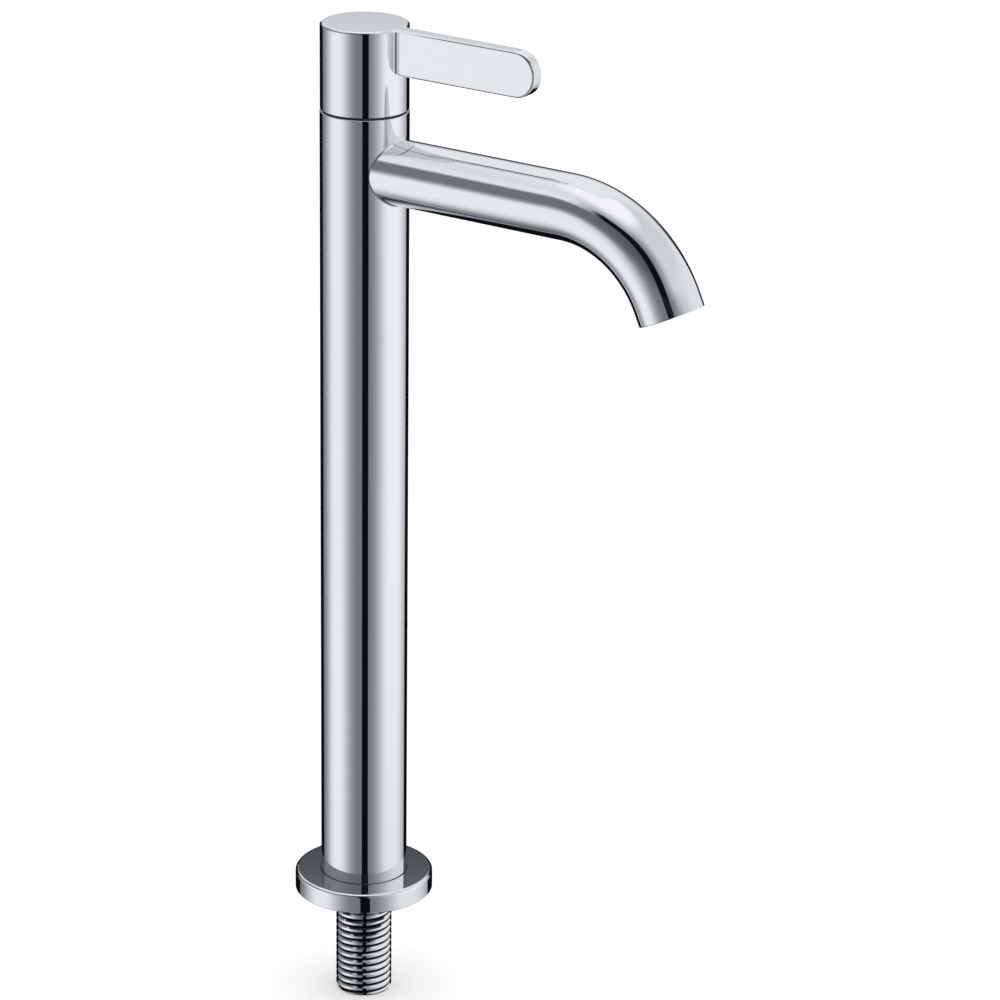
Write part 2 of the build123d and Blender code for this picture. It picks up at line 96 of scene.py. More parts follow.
class TapSizes(bpy.types.PropertyGroup):
    """Sizes that the parts' boxes in model.glb don't give."""

    column_wall: size("Column wall", "Wall of the column tube", 1.5)
    column_rim: size("Column rim", "Round of the column's upper rim", 0.3)
    column_spare: size("Column spare", "How far the column ends below its solid's top", 0.1)
    port_lip: size("Port lip", "How far the column's wall stands into the spout's bore", 0.5)
    foot_bead: size("Foot bead", "Radius of the rubber bead round the column's foot", 0.22)
    cap_lift: size("Cap lift", "How far the cap's lower lip is raised", 0.12)
    thread_pitch: size("Thread pitch", "Distance from crest to crest", 2.7)
    thread_depth: size("Thread depth", "Depth of the thread", 0.9)
    thread_tip: size("Thread tip", "Bevel at the tail's tip", 0.8)
    inlet_bore: size("Inlet bore", "Bore of the tail", 12.0)
    spout_straight: size("Spout straight", "From the column's axis to the bend", 87.0)
    spout_bend: size("Spout bend", "Bend radius of the spout's axis", 45.7)
    spout_end: size("Spout end", "Straight run after the bend", 5.2)
    spout_wall: size("Spout wall", "Wall of the spout tube", 1.2)
    spout_lip: size("Spout lip", "Round of the spout's mouth", 0.3)
    spout_joint: size("Spout joint", "Radius of the polished joint at the column", 0.8)
    spout_bend_angle: bpy.props.FloatProperty(
        name="Spout bend angle",
        description="How far the spout turns down",
        default=radians(65.3),
        subtype="ANGLE",
    )


class TapColours(bpy.types.PropertyGroup):
    """Base colours of the finishes."""

    chrome: colour("Chrome", "Bright chrome plate", "#f1f2f4")
    thread: colour("Plated thread", "Plate on the cut thread", "#ffffff")
    # painted shade: this near-black colour stands in for the shade down in the thread's roots and
    # lower flanks
    thread_root_shade: colour("Thread root", "Painted shade down in the thread", "#101113")
    brass: colour("Brass", "Turned brass", "#d9b878")
    copper: colour("Copper", "Drawn copper tube", "#d8916c")
    steel: colour("Stainless steel", "Stainless spring steel", "#c9cacb")
    rubber: colour("Rubber", "Black nitrile rubber", "#26272a")
    ceramic: colour("Ceramic", "Ground alumina", "#f0eee8")
    acetal: colour("Acetal", "Natural acetal", "#e9e7df")
    # partly the acetal's own dark grey, partly painted shade for the gap between the handle's cap
    # and the column
    grey_acetal: colour("Grey acetal", "Dark grey moulded acetal", "#2e3033")
    floor: colour("Floor", "Pale studio floor", "#f8f8f8")


# Mesh tools


def turned(points, steps):
    """Solid of revolution about Z, from the (radius, height) corners of its half section."""
    bm = bmesh.new()
    corners = [bm.verts.new((r, 0, z)) for r, z in points]
    edges = [bm.edges.new((corners[n - 1], corners[n])) for n in range(len(corners))]
    bmesh.ops.spin(
        bm, geom=corners + edges, cent=(0, 0, 0), axis=(0, 0, 1), angle=2 * pi,
        steps=steps, use_merge=True,
    )
    bmesh.ops.remove_doubles(bm, verts=bm.verts, dist=TINY)
    bmesh.ops.recalc_face_normals(bm, faces=bm.faces)
    return bm


def ring_edges(bm, verts):
    """The edges that run between these vertices."""
    inside = set(verts)
    return [e for e in bm.edges if e.verts[0] in inside and e.verts[1] in inside]


def extruded_ring(bm, verts):
    """Extrudes a ring of vertices in place and returns the new ring."""
    made = bmesh.ops.extrude_edge_only(bm, edges=ring_edges(bm, verts))["geom"]
    return [item for item in made if isinstance(item, bmesh.types.BMVert)]


def join_rings(bm, one, two, across):
    """Joins two rings of as many vertices by faces. Both are walked by their turn from X to the
    direction across, so that the faces don't twist."""
    # each walk starts a little before X, so that no rounding splits its start
    early = 0.01
    walks = []
    for ring in (one, two):
        middle = sum((vert.co for vert in ring), Vector()) / len(ring)
        walks.append(sorted(
            ring,
            key=lambda v: (
                atan2((v.co - middle).dot(across), v.co.x - middle.x) + early
            ) % (2 * pi),
        ))
    for n in range(len(one)):
        bm.faces.new((walks[0][n - 1], walks[0][n], walks[1][n], walks[1][n - 1]))


def rounded(bm, edges, width, segments):
    """Rounds edges over by that width."""
    bmesh.ops.bevel(
        bm, geom=edges, offset=width, offset_type="OFFSET", affect="EDGES",
        segments=segments, profile=0.5, material=-1, clamp_overlap=True,
    )


def rounded_rim(bm, radius, height, width, segments):
    """Rounds the circular edge at that radius and height."""
    rim = [v for v in bm.verts
           if abs(hypot(v.co.x, v.co.y) - radius) < 10 * TINY
           and abs(v.co.z - height) < 10 * TINY]
    rounded(bm, ring_edges(bm, rim), width, segments)


def add_piece(name, bm, material, nodes, body):
    """Makes the object of a finished mesh, all smooth."""
    mesh = bpy.data.meshes.new(name)
    for face in bm.faces:
        face.smooth = True
    bm.to_mesh(mesh)
    bm.free()
    mesh.materials.append(material)
    piece = bpy.data.objects.new(name, mesh)
    bpy.context.scene.collection.objects.link(piece)
    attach(piece, body)
    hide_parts(*nodes)
    return piece


def finish_piece(name, bm, material, nodes):
    """Makes a fixed piece, smooth over its rounds and true on its flats."""
    piece = add_piece(name, bm, material, nodes, FIXED_BODY)
    piece.data.set_sharp_from_angle(angle=radians(40))
    weighted = piece.modifiers.new("true_flats", "WEIGHTED_NORMAL")
    weighted.mode = "FACE_AREA"
    weighted.weight = 100
    weighted.keep_sharp = True


def dress(material, *names):
    """Gives CAD nodes their finish."""
    for name in names:
        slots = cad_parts[name].data.materials
        slots.clear()
        slots.append(material)


# Finishes


def add_node(tree, kind, inputs=None, **settings):
    """Adds a node with its settings; an input is a value, or the socket that feeds it."""
    node = tree.nodes.new("ShaderNode" + kind)
    for key, value in settings.items():
        setattr(node, key, value)
    for key, value in (inputs or {}).items():
        if isinstance(value, bpy.types.NodeSocket):
            tree.links.new(value, node.inputs[key])
        else:
            node.inputs[key].default_value = value
    return node


def window(tree, value, *limits):
    """A soft window on a value. Each pair of limits is a soft step from nothing to full."""
    mask = None
    for start, end in limits:
        step = add_node(
            tree, "MapRange", {"Value": value, "From Min": start, "From Max": end},
            interpolation_type="SMOOTHSTEP",
        ).outputs["Result"]
        mask = step if mask is None else add_node(
            tree, "Math", {0: mask, 1: step}, operation="MULTIPLY"
        ).outputs[0]
    return mask


def new_material(name):
    """An empty node material, and its object coordinates in metres."""
    material = bpy.data.materials.new(name)
    material.use_nodes = True
    tree = material.node_tree
    tree.nodes.clear()
    return material, tree, add_node(tree, "TexCoord").outputs["Object"]


def worked_surface(
    name, tint, shade, cloud_mm, marks_mm, roughness, relief_mm,
    stretch=(1, 1, 1), metallic=0.0, ior=1.45, painted_root_shade=None,
):
    """A worked surface. Clouds cloud_mm wide take its colour down by the factor shade, and marks
    marks_mm wide, drawn out by the stretch, give it its gloss and its relief. painted_root_shade
    holds the limits of the radii where its colour turns to a painted shade, for the shade down in
    a thread's roots, and the colour of that painted shade."""
    material, tree, place = new_material(name)
    clouds = add_node(
        tree, "TexNoise", {"Vector": place, "Scale": 1 / (cloud_mm * MM), "Detail": 2.0}
    )
    drawn = add_node(tree, "Mapping", {"Vector": place, "Scale": stretch})
    marks = add_node(
        tree, "TexNoise",
        {"Vector": drawn.outputs[0], "Scale": 1 / (marks_mm * MM), "Detail": 2.0},
    )
    base = add_node(
        tree, "Mix",
        {
            "Factor": clouds.outputs["Fac"],
            "A": (*(part * shade for part in tint), 1),
            "B": (*tint, 1),
        },
        data_type="RGBA",
    )
    # painted shade: between the given radii the colour turns to a dark one, standing in for the
    # shade in the thread's roots
    if painted_root_shade:
        *limits, root_shade_colour = painted_root_shade
        level = add_node(tree, "Mapping", {"Vector": place, "Scale": (1, 1, 0)})
        reach = add_node(tree, "VectorMath", {0: level.outputs[0]}, operation="LENGTH")
        base = add_node(
            tree, "Mix",
            {
                "Factor": window(tree, reach.outputs["Value"], *limits),
                "A": base.outputs["Result"],
                "B": (*root_shade_colour, 1),
            },
            data_type="RGBA",
        )
    gloss = add_node(
        tree, "MapRange",
        {
            "Value": marks.outputs["Fac"], "From Min": 0.3, "From Max": 0.7,
            "To Min": roughness[0], "To Max": roughness[1],
        },
    )
    relief = add_node(
        tree, "Bump",
        {"Height": marks.outputs["Fac"], "Distance": relief_mm * MM, "Strength": 1.0},
    )
    shader = add_node(
        tree, "BsdfPrincipled",
        {
            "Base Color": base.outputs["Result"],
            "Metallic": metallic,
            "Roughness": gloss.outputs["Result"],
            "Normal": relief.outputs["Normal"],
        },
    )
    if not metallic:
        shader.inputs["IOR"].default_value = ior
    add_node(tree, "OutputMaterial", {"Surface": shader.outputs[0]})
    return material


def chrome_plated_brass():
    """Bright chrome over polished brass: a cool mirror, with the faint long waves that a
    polishing wheel leaves. The first piece that asks makes it."""
    name = "chrome_plated_brass"
    return bpy.data.materials.get(name) or worked_surface(
        name, bpy.context.scene.tap_colours.chrome, 0.98, cloud_mm=4, marks_mm=16,
        roughness=(0.02, 0.032), relief_mm=0.0003, metallic=1.0,
    )


def plated_cut_thread(root_r):
    """Thin chrome over a cut thread: bright crests with fine tool marks round the turns, and
    painted shade in the roots and on the lower flanks, where shade falls. The tail's flat end is
    bright again."""
    colours = bpy.context.scene.tap_colours
    return worked_surface(
        "plated_cut_thread", colours.thread, 0.9, cloud_mm=2, marks_mm=1.2,
        roughness=(0.03, 0.06), relief_mm=0.001, stretch=(0.2, 0.2, 5), metallic=1.0,
        # painted shade in the thread's roots and lower flanks
        painted_root_shade=(
            (root_r - 0.15 * MM, root_r - 0.05 * MM), (root_r + 0.6 * MM, root_r + 0.25 * MM),
            colours.thread_root_shade,
        ),
    )


def turned_brass():
    """Brass as it leaves the lathe: warm, with fine rings round the axis."""
    return worked_surface(
        "turned_brass", bpy.context.scene.tap_colours.brass, 0.86, cloud_mm=5, marks_mm=0.25,
        roughness=(0.16, 0.32), relief_mm=0.008, stretch=(0.05, 0.05, 1), metallic=1.0,
    )


def drawn_copper():
    """Copper tube as drawn through a die: fine lines along it and a slight tarnish."""
    return worked_surface(
        "drawn_copper", bpy.context.scene.tap_colours.copper, 0.78, cloud_mm=9, marks_mm=0.3,
        roughness=(0.2, 0.36), relief_mm=0.004, stretch=(1, 1, 0.03), metallic=1.0,
    )


def stainless_steel():
    """Rolled and stamped stainless steel: grey, half matt, with a fine rolled grain."""
    return worked_surface(
        "rolled_stainless_steel", bpy.context.scene.tap_colours.steel, 0.9, cloud_mm=3,
        marks_mm=0.15, roughness=(0.22, 0.36), relief_mm=0.002, stretch=(0.2, 1, 1), metallic=1.0,
    )


def nitrile_rubber():
    """Moulded nitrile rubber: black, matt and faintly dusty, with a fine moulded grain."""
    name = "moulded_nitrile_rubber"
    return bpy.data.materials.get(name) or worked_surface(
        name, bpy.context.scene.tap_colours.rubber, 0.5, cloud_mm=2, marks_mm=0.3,
        roughness=(0.48, 0.66), relief_mm=0.01, ior=1.52,
    )


def ground_alumina():
    """Alumina ceramic, ground flat and lapped: ivory white with a dense satin shine."""
    return worked_surface(
        "ground_alumina", bpy.context.scene.tap_colours.ceramic, 0.95, cloud_mm=3,
        marks_mm=0.2, roughness=(0.14, 0.26), relief_mm=0.001, ior=1.76,
    )


def natural_acetal():
    """Natural acetal from the mould: milky white and waxy."""
    return worked_surface(
        "moulded_natural_acetal", bpy.context.scene.tap_colours.acetal, 0.95, cloud_mm=3,
        marks_mm=0.5, roughness=(0.3, 0.42), relief_mm=0.004, ior=1.48,
    )


def grey_acetal():
    """Grey acetal from a lightly etched mould: even dark grey with a satin skin. Its dark grey is
    partly the acetal's own and partly painted shade for the gap between the handle's cap and the
    column.
    """
    return worked_surface(
        "moulded_grey_acetal", bpy.context.scene.tap_colours.grey_acetal, 0.92, cloud_mm=3,
        marks_mm=0.4, roughness=(0.34, 0.48), relief_mm=0.006, ior=1.48,
    )


# Column


def cut_port(bm, radius):
    """Opens both walls of the column into the spout's bore and joins their rims. The walls are
    first cut level in rows, so that the port comes out round."""
    rows = 22
    for row in range(rows + 1):
        height = SPOUT_AXIS_Z + radius * (2 * row / rows - 1)
        bmesh.ops.bisect_plane(
            bm, geom=bm.verts[:] + bm.edges[:] + bm.faces[:], plane_co=(0, 0, height),
            plane_no=(0, 0, 1),
        )
    port = []
    for face in bm.faces:
        middle = face.calc_center_median()
        if middle.y < 0 and hypot(middle.x, middle.z - SPOUT_AXIS_Z) < radius:
            port.append(face)
    bmesh.ops.delete(bm, geom=port, context="FACES")
    bmesh.ops.bridge_loops(bm, edges=[e for e in bm.edges if e.is_boundary])
    bmesh.ops.recalc_face_normals(bm, faces=bm.faces)


def make_column():
    sizes = bpy.context.scene.tap_sizes
    inner = COLUMN_R - sizes.column_wall
    top = COLUMN_HIGH.z - sizes.column_spare
    bm = turned(
        [(COLUMN_R, COLUMN_LOW.z), (COLUMN_R, top), (inner, top), (inner, COLUMN_LOW.z)],
        steps=192,
    )
    rounded_rim(bm, COLUMN_R, top, sizes.column_rim, 3)
    rounded_rim(bm, inner, top, sizes.column_rim / 2, 2)
    cut_port(bm, SPOUT_R - sizes.spout_wall - sizes.port_lip)
    finish_piece("chromed_column", bm, chrome_plated_brass(), ["column_tube"])


def make_foot_seal():
    """The thin rubber bead that closes the column's foot, half sunk in the flange's bevel."""
    radius = bpy.context.scene.tap_sizes.foot_bead
    # its middle, in the bevel of the flange's seat
    middle_r = COLUMN_R + 0.19 * MM
    middle_z = FLANGE_TOP - 0.12 * MM
    sides = 10
    section = [
        (middle_r + radius * cos(2 * pi * n / sides), middle_z + radius * sin(2 * pi * n / sides))
        for n in range(sides)
    ]
    bm = turned(section, steps=ROUND_STEPS)
    finish_piece("foot_seal", bm, nitrile_rubber(), [])


# Handle


# the slope of a bevel between two square faces, and how far the normals lean from it
BEVEL_SLOPE = sqrt(0.5)
LEAN_UP = 0.3
LEAN_OUT = 0.8


def is_bevel(face):
    """Whether a face of the handle lies in the narrow bevel round the cap or the lever."""
    middle = face.center
    reach = hypot(middle.x, middle.y)
    slope = abs(face.normal.z) if reach < CAP_R else abs(face.normal.x)
    return abs(slope - BEVEL_SLOPE) < 0.05 and (reach >= CAP_R or middle.z > CAP_TOP - 2 * MM)


def make_handle():
    """The handle casting from its solid. The normals of its narrow bevels lean to the faces on
    both their sides, so that they shine as the rounds that polishing leaves."""
    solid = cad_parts["handle"].data
    corners = KDTree(len(solid.loops))
    given = []
    for face in solid.polygons:
        for n in face.loop_indices:
            corners.insert(solid.vertices[solid.loops[n].vertex_index].co, len(given))
            shading = solid.corner_normals[n].vector.copy()
            given.append((is_bevel(face), face.normal.copy(), shading))
    corners.balance()

    bm = bmesh.new()
    bm.from_mesh(solid)
    bmesh.ops.remove_doubles(bm, verts=bm.verts, dist=TINY)
    piece = add_piece(
        "chromed_handle", bm, chrome_plated_brass(), ["handle"], HANDLE_BODY
    )
    mesh = piece.data
    normals = []
    for face in mesh.polygons:
        bevel = is_bevel(face)
        for n in face.loop_indices:
            place = mesh.vertices[mesh.loops[n].vertex_index].co
            near = [given[found] for _, found, _ in corners.find_range(place, 3 * TINY)]
            beside = [item for item in near if not item[0]]
            if bevel and beside:
                # the face that the bevel turns to by 45 degrees
                flat = min(
                    beside, key=lambda item: abs(item[1].dot(face.normal) - BEVEL_SLOPE)
                )[2]
                normals.append(face.normal.slerp(flat, LEAN_UP if flat.z > 0.6 else LEAN_OUT))
            else:
                normals.append(max(near, key=lambda item: item[1].dot(face.normal))[2])
    mesh.normals_split_custom_set(normals)
    # the shadow gap over the column is a little wider at its lip
    lift = bpy.context.scene.tap_sizes.cap_lift
    for vert in mesh.vertices:
        if vert.co.z < CAP_LOW + 0.3 * MM and hypot(vert.co.x, vert.co.y) > CAP_R - 0.5 * MM:
            vert.co.z += lift


# Threaded tail


def open_rim(bm, height):
    """The open edges that lie at that height."""
    return [e for e in bm.edges
            if e.is_boundary and all(abs(v.co.z - height) < TINY for v in e.verts)]


def close_with_rings(bm, rings, segments):
    """Walks from the open upper rim over rings of (radius, height) to the open lower rim. The
    first and the last ring lie level with their rims."""
    circles = []
    for radius, height in rings:
        circles.append(bmesh.ops.create_circle(
            bm, segments=segments, radius=radius, matrix=Matrix.Translation((0, 0, height))
        )["verts"])
    for n in (0, -1):
        level = [edge for edge in open_rim(bm, rings[n][1]) if edge.verts[0] not in circles[n]]
        bmesh.ops.triangle_fill(bm, edges=level + ring_edges(bm, circles[n]), use_beauty=True)
    for one, two in zip(circles, circles[1:]):
        join_rings(bm, one, two, Vector((0, 1, 0)))
    # a slit is left where the thread runs out at its cut
    bmesh.ops.holes_fill(bm, edges=[edge for edge in bm.edges if edge.is_boundary])
    bmesh.ops.recalc_face_normals(bm, faces=bm.faces)


def make_tail():
    """The tail with its cut thread: one pitch is swept up the axis as a screw, cut off level at
    both ends and closed down the bore."""
    sizes = bpy.context.scene.tap_sizes
    pitch = sizes.thread_pitch
    root = SHANK_R - sizes.thread_depth
    low = SHANK_LOW.z
    turns = int(-low / pitch) + 3
    steps = 96
    # one turn of the thread: its radius at shares of the pitch
    form = [(root, 0.0), (root, 0.14), (SHANK_R, 0.3), (SHANK_R, 0.62), (root, 1.0)]
    bm = bmesh.new()
    points = [bm.verts.new((r, 0, low - pitch + share * pitch)) for r, share in form]
    edges = [bm.edges.new(pair) for pair in zip(points, points[1:])]
    bmesh.ops.spin(
        bm, geom=points + edges, cent=(0, 0, 0), axis=(0, 0, 1), angle=2 * pi * turns,
        steps=steps * turns, dvec=(0, 0, pitch / steps), use_merge=False,
    )
    bmesh.ops.remove_doubles(bm, verts=bm.verts, dist=5 * TINY)
    for height, way in ((low, -1), (0, 1)):
        bmesh.ops.bisect_plane(
            bm, geom=bm.verts[:] + bm.edges[:] + bm.faces[:], plane_co=(0, 0, height),
            plane_no=(0, 0, way), clear_outer=True,
        )
    # the bevelled tip
    for vert in bm.verts:
        limit = SHANK_R - max(0, sizes.thread_tip - (vert.co.z - low))
        reach = hypot(vert.co.x, vert.co.y)
        if reach > limit:
            vert.co.x *= limit / reach
            vert.co.y *= limit / reach
    # a neck and a plain collar above the thread, and the bore back down to the tip
    neck = root - 0.05 * MM
    neck_top = 2 * MM
    collar_low = 2.6 * MM
    bore = sizes.inlet_bore / 2
    throat = bore * 0.75
    throat_low = 0.3 * MM
    rings = [
        (neck, 0), (neck, neck_top), (SHANK_R, collar_low), (SHANK_R, SHANK_HIGH.z),
        (throat, SHANK_HIGH.z), (throat, throat_low), (bore, 0), (bore, low),
    ]
    close_with_rings(bm, rings, steps)
    finish_piece(
        "threaded_tail", bm, plated_cut_thread(root), ["threaded_shank"]
    )


# Spout


def spout_wall_surface(bm, radius, start_y):
    """One surface of the spout: straight from a cylinder inside the column's wall, round the
    bend and straight to the mouth. Returns its first and last rings."""
    sizes = bpy.context.scene.tap_sizes
    level = Matrix.Translation((0, 0, SPOUT_AXIS_Z)) @ Matrix.Rotation(pi / 2, 4, "X")
    root = bmesh.ops.create_circle(bm, segments=ROUND_STEPS, radius=radius, matrix=level)["verts"]
    for vert in root:
        vert.co.y = -sqrt(start_y ** 2 - vert.co.x ** 2)
    ring = extruded_ring(bm, root)
    for vert in ring:
        vert.co.y = -sizes.spout_straight
    made = bmesh.ops.spin(
        bm, geom=ring + ring_edges(bm, ring),
        cent=(0, -sizes.spout_straight, SPOUT_AXIS_Z - sizes.spout_bend), axis=(1, 0, 0),
        angle=sizes.spout_bend_angle, steps=64, use_merge=False,
    )["geom_last"]
    ring = extruded_ring(bm, [v for v in made if isinstance(v, bmesh.types.BMVert)])
    heading = Vector((0, -cos(sizes.spout_bend_angle), -sin(sizes.spout_bend_angle)))
    bmesh.ops.translate(bm, verts=ring, vec=heading * sizes.spout_end)
    return root, ring


def make_spout():
    """The bent tube, its mouth rounded over, and its root cut to the column."""
    sizes = bpy.context.scene.tap_sizes
    start_y = COLUMN_R - sizes.column_wall / 2
    bm = bmesh.new()
    outer_root, outer_mouth = spout_wall_surface(bm, SPOUT_R, start_y)
    inner_root, inner_mouth = spout_wall_surface(bm, SPOUT_R - sizes.spout_wall, start_y)
    bend = sizes.spout_bend_angle
    join_rings(bm, outer_root, inner_root, Vector((0, 0, 1)))
    join_rings(bm, outer_mouth, inner_mouth, Vector((0, -sin(bend), cos(bend))))
    bmesh.ops.recalc_face_normals(bm, faces=bm.faces)
    rounded(bm, ring_edges(bm, outer_mouth), sizes.spout_lip, 4)
    rounded(bm, ring_edges(bm, inner_mouth), sizes.spout_lip / 2, 2)
    finish_piece("chromed_spout", bm, chrome_plated_brass(), ["spout_tube"])


def make_spout_joint():
    """The polished hollow where the brazed spout meets the column: a small round whose centre
    follows the saddle a radius off both tubes, closed behind inside their walls."""
    hollow = bpy.context.scene.tap_sizes.spout_joint
    far = COLUMN_R + hollow
    arc_steps = 6
    bm = bmesh.new()
    level = Matrix.Translation((0, 0, SPOUT_AXIS_Z)) @ Matrix.Rotation(pi / 2, 4, "X")
    first = bmesh.ops.create_circle(
        bm, segments=ROUND_STEPS, radius=SPOUT_R + hollow, matrix=level
    )["verts"]
    for vert in first:
        vert.co.y = -sqrt(far ** 2 - vert.co.x ** 2)
    rows = [first]
    for _ in range(arc_steps + 2):
        rows.append(extruded_ring(bm, rows[-1]))
    for row in rows:
        row.sort(key=lambda v: atan2(v.co.z - SPOUT_AXIS_Z, v.co.x))
    for n, centre in enumerate([vert.co.copy() for vert in rows[0]]):
        to_spout = -Vector((centre.x, 0, centre.z - SPOUT_AXIS_Z)).normalized()
        to_column = -Vector((centre.x, centre.y, 0)).normalized()
        for step in range(arc_steps + 1):
            rows[step][n].co = centre + hollow * to_spout.slerp(to_column, step / arc_steps)
        # inside the column's wall, and back under the hollow
        rows[-2][n].co = centre + hollow * to_column * 1.5
        rows[-1][n].co = centre + hollow * (to_spout + to_column) * 1.2
    bmesh.ops.bridge_loops(bm, edges=ring_edges(bm, rows[-1]) + ring_edges(bm, rows[0]))
    bmesh.ops.remove_doubles(bm, verts=bm.verts, dist=TINY)
    bmesh.ops.recalc_face_normals(bm, faces=bm.faces)
    finish_piece("spout_joint", bm, chrome_plated_brass(), [])


# The stage


def lay(tree, under, level, *masks):
    """Lays a panel of one grey (0 to 255) over what is there, where all its masks are."""
    mask = masks[0]
    for more in masks[1:]:
        mask = add_node(tree, "Math", {0: mask, 1: more}, operation="MULTIPLY").outputs[0]
    return add_node(
        tree, "Mix", {"Factor": mask, "A": under, "B": level}, data_type="FLOAT"
    ).outputs["Result"]


def black_strip(tree, side, height):
    """The bend of the black strip, between two frames with rounded corners. Both frames have
    their middle 50 degrees to the left, level with the tent's middle."""
    squareness = 5
    frames = []
    for half_side, half_height, edge in ((61.5, 50, 0.08), (43, 40, 0.05)):
        powers = []
        for value, shift, half in ((side, 50, half_side), (height, 0, half_height)):
            offset = add_node(tree, "Math", {0: value, 1: shift}, operation="ADD")
            away = add_node(tree, "Math", {0: offset.outputs[0]}, operation="ABSOLUTE")
            share = add_node(tree, "Math", {0: away.outputs[0], 1: half}, operation="DIVIDE")
            power = add_node(
                tree, "Math", {0: share.outputs[0], 1: squareness}, operation="POWER"
            )
            powers.append(power.outputs[0])
        total = add_node(tree, "Math", {0: powers[0], 1: powers[1]}, operation="ADD").outputs[0]
        frames.append(window(tree, total, (1 + edge, 1 - edge)))
    outside = add_node(tree, "Math", {0: 1.0, 1: frames[1]}, operation="SUBTRACT").outputs[0]
    return add_node(tree, "Math", {0: frames[0], 1: outside}, operation="MULTIPLY").outputs[0]


# The tent's panels, each laid over those before it: its grey, and by which angles it is limited,
# with soft steps in degrees. Rises are heights between which a panel's grey grows by so much.
PANELS = (
    # the bright ceiling
    {"grey": 244.0, "height": [(40, 72)]},
    # the soft box on the right, whose inner edge leans in above
    {"grey": 237.0, "leaning": [(8, 68), (170, 92)], "height": [(-80, -22), (18, 2)]},
    # the cloth above it, which comes lower further round
    {"grey": 209.0, "side": [(2, 44)], "height": [(12, 30), (70, 56)]},
    {"grey": 224.0, "side": [(12, 90)], "height": [(-4, 6), (40, 24)]},
    # the soft box on the left
    {"grey": 234.0, "side": [(-136, -84), (-14, -70)], "height": [(-84, -28), (20, 1)]},
    # the shade between it and the black strip, and the cloth above
    {"grey": 84.0, "side": [(-84, -4), (6, -2)], "height": [(10, 26), (50, 44)]},
    {"grey": 226.0, "side": [(-30, -66)], "height": [(37, 44), (76, 50)]},
    # the room behind: black low down, lighter towards its floor and above
    {"grey": 13.0, "back": [(133.5, 136.5)],
     "rises": [(2, 13, 53.0), (14, 24, 140.0), (-66, -86, 140.0)]},
    {"grey": 230.0, "back": [(118, 150)], "height": [(24, 36)]},
    # the black strip in front
    {"grey": 13.0, "side": [(-6.3, -5.6), (10.7, 9.7)], "height": [(16, 12)]},
)


def tent_material():
    """The cloth round the tap, by azimuth from the camera and by height, in degrees: a soft
    box on each side, a black strip in front that bends over to the left, a dark room low
    behind, and a bright ceiling. It is painted in greys from 0 to 255 and then made light."""
    material, tree, place = new_material("studio_tent")
    parts = add_node(tree, "SeparateXYZ", {"Vector": place}).outputs
    ahead = add_node(tree, "Math", {0: parts["Y"], 1: -1.0}, operation="MULTIPLY").outputs[0]
    turn = add_node(tree, "Math", {0: parts["X"], 1: ahead}, operation="ARCTAN2").outputs[0]
    side = add_node(tree, "Math", {0: turn}, operation="DEGREES").outputs[0]
    lift = add_node(tree, "Math", {0: parts["Z"]}, operation="ARCSINE").outputs[0]
    height = add_node(tree, "Math", {0: lift}, operation="DEGREES").outputs[0]
    back = add_node(tree, "Math", {0: side}, operation="ABSOLUTE").outputs[0]

    lean = add_node(
        tree, "MapRange",
        {"Value": height, "From Min": -16, "From Max": -4, "To Min": 0, "To Max": 6},
        interpolation_type="SMOOTHSTEP",
    ).outputs["Result"]
    leaning = add_node(tree, "Math", {0: side, 1: lean}, operation="ADD").outputs[0]
    angles = {"side": side, "leaning": leaning, "back": back, "height": height}
    # a grey room, darker low down
    level = lay(tree, 117.0, 85.0, window(tree, height, (-40, -60)))
    for panel in PANELS:
        grey = panel["grey"]
        for start, end, rise in panel.get("rises", ()):
            step = window(tree, height, (start, end))
            more = add_node(tree, "Math", {0: step, 1: rise}, operation="MULTIPLY").outputs[0]
            grey = add_node(tree, "Math", {0: more, 1: grey}, operation="ADD").outputs[0]
        masks = [window(tree, angles[name], *panel[name]) for name in angles if name in panel]
        level = lay(tree, level, grey, *masks)
    # the bend of the black strip
    level = lay(
        tree, level, 16.0, black_strip(tree, side, height), window(tree, height, (8, 18)),
        window(tree, side, (-46, -34)),
    )

    share = add_node(tree, "Math", {0: level, 1: 255.0}, operation="DIVIDE").outputs[0]
    # dark cloth is a little bluer than bright cloth
    cloth = add_node(
        tree, "Mix", {"Factor": share, "A": (0.84, 1.0, 1.17, 1), "B": (1.0, 1.0, 1.01, 1)},
        data_type="RGBA",
    )
    raised = add_node(tree, "Math", {0: share, 1: 0.055}, operation="ADD").outputs[0]
    scaled = add_node(tree, "Math", {0: raised, 1: 1.055}, operation="DIVIDE").outputs[0]
    light = add_node(tree, "Math", {0: scaled, 1: 2.4}, operation="POWER").outputs[0]
    # the plate sends back nine tenths
    strength = add_node(tree, "Math", {0: light, 1: 0.9}, operation="DIVIDE").outputs[0]
    shader = add_node(
        tree, "Emission", {"Color": cloth.outputs["Result"], "Strength": strength}
    )
    add_node(tree, "OutputMaterial", {"Surface": shader.outputs[0]})
    material.cycles.emission_sampling = "NONE"
    return material


